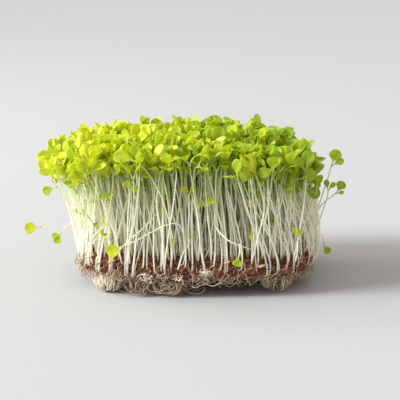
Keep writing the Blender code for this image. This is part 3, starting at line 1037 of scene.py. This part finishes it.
def addStrands(strands, rng):
    for k in range(rootWeb["strands"]):
        angle = rng.uniform(0, fullTurn)
        length = rng.uniform(*rootWeb["strandLength"])
        z, inset = rng.uniform(webLow.z - 0.0008, webHigh.z + 0.0020), rng.uniform(-0.0003, 0.0052)
        seed, slope = k * 1.37, rng.gauss(0, 0.0022)
        path = []
        for t in evenly(13):
            drift = ripple(seed, t * 3.4, 0) * 0.0052 + slope * (t - 0.5)
            swing = ripple(seed, t * 3.0, 9.0) * 0.0030
            around = angle + length * (t - 0.5) / matShape["meanRadius"]
            path.append(rim(around, inset - abs(swing), max(0.001, z + drift)))
        strands.strand(path, rng.uniform(*rootWeb["radius"]), 5, rng.uniform(0.0, 0.62))


def addHanging(strands, rng):  # loose ends and loops that hang off the fringe
    for k in range(rootWeb["hanging"]):
        angle = rng.uniform(0, fullTurn)
        start = rim(angle, rng.uniform(0.0, 0.008), webHigh.z + rng.uniform(-0.003, 0.0015))
        front = start.y < middle.y - matHalf.y * 0.8
        if front and rootWeb["bare"][0] < start.x - middle.x < rootWeb["bare"][1] and rng.random() < 0.5:
            continue
        along = (rim(angle + 0.01) - rim(angle)).normalized()
        slide = rng.gauss(0, 0.0045)
        drop = min(rng.uniform(0.0015, 0.0055) * (0.7 if front else 1.0), start.z)
        out = outwards(angle) * rng.uniform(-0.002, 0.0024)
        end = start + along * slide - up * drop + out
        if rng.random() < rootWeb["loops"]:
            end = start + along * slide - up * drop * 0.2 + out
            path = curve(start, start + out - up * drop * 1.2, end - up * drop * 1.1, end, 11)
        else:
            rest = end + along * slide * 0.3 + up * 0.001
            path = curve(start, start + out - up * drop * 0.3, rest, end, 9)
        for point in path:
            point.z = max(0.0004, point.z)  # stays above the table
        tip = rng.uniform(0.0, 0.6)
        radius = rng.uniform(*rootWeb["radius"])
        strands.strand(path, lambda s: radius * (1 - tip * s), 5, rng.uniform(0.0, 0.62))


def addHairs(strands, rng):  # fine pale roots that run down over the coir
    for k in range(rootWeb["hairs"]):
        angle = rng.uniform(0, fullTurn)
        top = rng.uniform(coirBottom + 0.001, coirTop + 0.0008)
        slide, drop = rng.gauss(0, 0.0042) / matShape["meanRadius"], rng.uniform(0.003, 0.010)
        path = []
        for t in evenly(9):
            wander = ripple(k * 2.3, t * 3.5, 3.0)
            z = max(webLow.z - 0.001, top - drop * t + wander * 0.0015)
            out = 0.0009 * sin(pi * t) + 0.0005 * wander + 0.0006
            path.append(rim(angle + slide * t + wander * 0.02, -out + 0.0016 * abs(2 * t - 1) ** 3, z))
        strands.strand(path, rng.uniform(*rootWeb["hairRadius"]), 5, rng.uniform(0.2, 0.9))


def buildRootWeb():
    rng = random.Random(rootWeb["seed"])
    buildWeb()
    strands = Sheaf()
    addStrands(strands, rng)
    addHanging(strands, rng)
    addHairs(strands, rng)
    settle(strands.build("rootFringe", rootLook), "root")
    print("root web built")


buildRootWeb()


rootTangle = {
    "seed": 23,
    "coils": 10,
    "coilRadius": 0.0043,
    "coilRootRadius": (0.00014, 0.00034),
    "strands": 70,
    "radius": (0.00009, 0.00026),
    "reach": (-0.042, -0.008),
    "knots": ((5, -56.5, 16, 18), (-31, -57, 14, 9), (-12, -57, 13, 6)),  # millimetres, and how many roots
    "knotRadius": 0.00030,
}


def buildCoil(rng):
    low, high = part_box("root_curl_front")
    heart = (low + high) / 2
    coil = Sheaf()
    for k in range(rootTangle["coils"]):
        size = rootTangle["coilRadius"] * rng.uniform(0.62, 1.08)
        phase, turns, drift = rng.uniform(0, 6.28), rng.uniform(0.7, 1.7), rng.uniform(-0.0012, 0.0012)
        path = []
        for step in range(31):
            a = phase + fullTurn * turns * step / 30
            wander = ripple(k * 3.7, a * 0.8, 0)
            flat = Vector((cos(a) * 1.05, drift / size + 0.25 * wander, sin(a) * 0.92))
            path.append(heart + flat * (size * (1 + 0.10 * wander)))
        coil.strand(path, rng.uniform(*rootTangle["coilRootRadius"]), 6, rng.uniform(0.15, 0.8))
    settle(coil.build("rootCoil", rootLook), "root", "root_curl_front")


def buildTangle(rng):
    tangle = Sheaf()
    for k in range(rootTangle["strands"]):
        x = rng.uniform(*rootTangle["reach"])
        y = coirLow.y - middle.y + rng.uniform(0.0015, 0.0085)
        start = middle + Vector((x, y, webLow.z + rng.uniform(0, 0.003)))
        width = rng.gauss(0, 0.0065)
        sink = rng.uniform(0.0008, 0.0062)
        end = start + Vector((width, rng.gauss(0, 0.002), -rng.uniform(0, 0.004)))
        low1 = Vector((start.x + rng.gauss(0, 0.003), start.y - rng.uniform(0, 0.003), sink - 0.002))
        low2 = Vector((end.x + rng.gauss(0, 0.003), end.y - rng.uniform(0, 0.003), sink - 0.001))
        path = curve(start, low1, low2, end, 13)
        for point in path:
            point.z = max(0.0005, point.z)
        tangle.strand(path, rng.uniform(*rootTangle["radius"]), 5, rng.uniform(0.0, 0.55))
    for x, y, z, count in rootTangle["knots"]:
        for k in range(count):
            start = onMat(x + rng.gauss(0, 1.4), y + rng.gauss(0, 0.4), z + rng.gauss(0, 1.0))
            turn = rng.uniform(0, fullTurn)
            flow = Vector((cos(turn), -0.15, sin(turn))) * rng.uniform(0.002, 0.005)
            bend = Vector((rng.gauss(0, 0.0016), 0, rng.gauss(0, 0.0016)))
            end = start + flow + up * -0.001
            path = curve(start - flow * 0.4, start + bend, start + flow * 0.6 + bend, end, 9)
            thick = rootTangle["knotRadius"]
            tangle.strand(path, lambda s: thick * (1 - 0.75 * s), 5, rng.uniform(0.75, 1.0))
    settle(tangle.build("rootTangle", rootLook), "root")


tangleDraws = random.Random(rootTangle["seed"])
buildCoil(tangleDraws)
buildTangle(tangleDraws)
print("root tangle built")


bagRoots = {"seed": 11, "radius": (0.00014, 0.00032), "sway": 0.24}
backFoot = {"strands": 220, "radius": 0.0102, "tone": (0.30, 0.9), "fill": 0.66}
rootFeet = {
    # the front left bag's roots are painted lighter as painted light, and the front right's reach darker
    # tones as painted shade
    "root_foot_front_left": {"strands": 230, "radius": 0.0106, "tone": (0.55, 1.0), "fill": 0.66},
    "root_foot_front_right": {"strands": 74, "radius": 0.0102, "tone": (0.2, 0.95), "fill": 0.46},
    "root_foot_back_left": backFoot,
    "root_foot_back_right": backFoot,
}


def onBag(centre, radius, theta, phi, size, lift=0.0):  # theta runs down the bag and phi around it
    tall = coirBottom + 0.0018
    sag = sin(theta) ** 0.75
    z = tall * (0.5 + 0.5 * cos(theta) * size)
    out = radius * size * sag * (1 + 0.08 * sin(3 * phi) + 0.05 * sin(5 * phi + 1))
    return centre + Vector((out * cos(phi), out * sin(phi), max(0.0003 + lift, z)))


def buildCore(node, foot, centre):
    core, count, levels = Sheaf(), 40, 15
    rings = []
    for k in range(levels):
        theta = pi * (0.985 - 0.90 * k / (levels - 1))
        ring = []
        for turn in range(count):
            phi = fullTurn * turn / count
            dent = 1 + 0.07 * ripple(cos(phi) * 3, sin(phi) * 3, k * 0.25)
            ring.append(onBag(centre, foot["radius"], theta, phi, foot["fill"] * dent))
        rings.append(ring)
    # the core is painted dark under the bag's strands: painted shade between them, with some root tan at
    # the front left
    core.loft(rings, foot["tone"][0] * 0.75)
    settle(core.build(f"{node}_core", shadedCoreLook), "root", node)


def buildBag(rng, node, foot, centre):
    bag = Sheaf()
    for k in range(foot["strands"]):
        phi = rng.uniform(0, fullTurn)
        first = rng.uniform(0.15, 0.6)
        size, seed = 1.03 - (1.0 - foot["fill"]) * rng.random() ** 1.6, rng.uniform(0, 60)
        over = rng.uniform(0.1, 0.9)  # how far it runs under the bag
        side = rng.gauss(0, bagRoots["sway"])
        path = []
        for t in evenly(15):
            theta = first + (pi - first) * t * (0.6 + 0.4 * over)
            wander = 0.22 * ripple(seed, t * 3, 0)
            around = phi + side * t + wander
            path.append(onBag(centre, foot["radius"], theta, around, size, rng.uniform(0, 0.0002)))
        bag.strand(path, rng.uniform(*bagRoots["radius"]), 5, rng.uniform(*foot["tone"]))
    settle(bag.build(f"{node}_roots", rootLook), "root")


def buildFeet():
    rng = random.Random(bagRoots["seed"])
    for node, foot in rootFeet.items():
        low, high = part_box(node)
        centre = Vector(((low.x + high.x) / 2, (low.y + high.y) / 2, 0))
        buildCore(node, foot, centre)
        buildBag(rng, node, foot, centre)
    print("root feet built")


buildFeet()


studio = {
    "floor": rgb(0.424, 0.426, 0.434),
    "floorHaze": rgb(0.390, 0.392, 0.400),
    "sky": rgb(1.0, 0.945, 0.88),
    "skyStrength": 0.83,
    "keyStrength": 4.75,
    "keyColour": (0.95, 0.985, 1.0),
    "keyFrom": (-1.0, -0.28, 0.62),
    "keySoftness": 22.0,
    "washPower": 14.0,
    "washPlace": (-1.25, 0.25, 0.85),
}

lens = {"elevation": 12.5, "distance": 0.8, "focal": 118.5, "aimAcross": 0.0022, "aimHeight": 0.0622}


def show(piece):
    bpy.context.scene.collection.objects.link(piece)


def addLight(name, kind, place, power, colour):
    data = bpy.data.lights.new(name, kind)
    data.energy, data.color = power, colour
    light = bpy.data.objects.new(name, data)
    light.location = place
    light.rotation_euler = (Vector(place) - middle).to_track_quat("Z", "Y").to_euler()
    show(light)
    return data


def setFloor():
    floorFinish = Finish("paleFloor", Roughness=0.9, Specular_IOR_Level=0.05)
    haze = floorFinish.grain(2.5, 2.0)
    floorFinish.paint(floorFinish.blend(haze * 0.1, studio["floor"], studio["floorHaze"]))
    mesh = bpy.data.meshes.new("floor")
    corners = [(6 * cos(a), 6 * sin(a), 0) for a in (fullTurn * k / 48 for k in range(48))]
    mesh.from_pydata(corners, [], [tuple(range(48))])
    mesh.materials.append(floorFinish.material)
    floor = bpy.data.objects.new("floor", mesh)
    show(floor)


def setLights():
    world = bpy.data.worlds.new("studio")
    world.use_nodes = True
    world.node_tree.nodes["Background"].inputs["Color"].default_value = studio["sky"]
    world.node_tree.nodes["Background"].inputs["Strength"].default_value = studio["skyStrength"]
    bpy.context.scene.world = world
    key = addLight("key", "SUN", studio["keyFrom"], studio["keyStrength"], studio["keyColour"])
    key.angle = radians(studio["keySoftness"])
    wash = addLight("wash", "AREA", studio["washPlace"], studio["washPower"], (1.0, 1.0, 1.0))
    wash.size = 1.0


def setCamera():
    scene = bpy.context.scene
    scene.view_settings.view_transform = "Standard"
    camera = bpy.data.objects.new("camera", bpy.data.cameras.new("camera"))
    camera.data.lens, camera.data.sensor_width = lens["focal"], 36.0
    tilt = radians(lens["elevation"])
    aim = middle + Vector((lens["aimAcross"], coirLow.y - middle.y, lens["aimHeight"]))
    camera.location = aim + Vector((0, -cos(tilt), sin(tilt))) * lens["distance"]
    camera.rotation_euler = (pi / 2 - tilt, 0, 0)
    camera.data.clip_start, camera.data.clip_end = 0.01, 50
    show(camera)
    scene.camera = camera


setFloor()
setLights()
setCamera()
print("studio set")
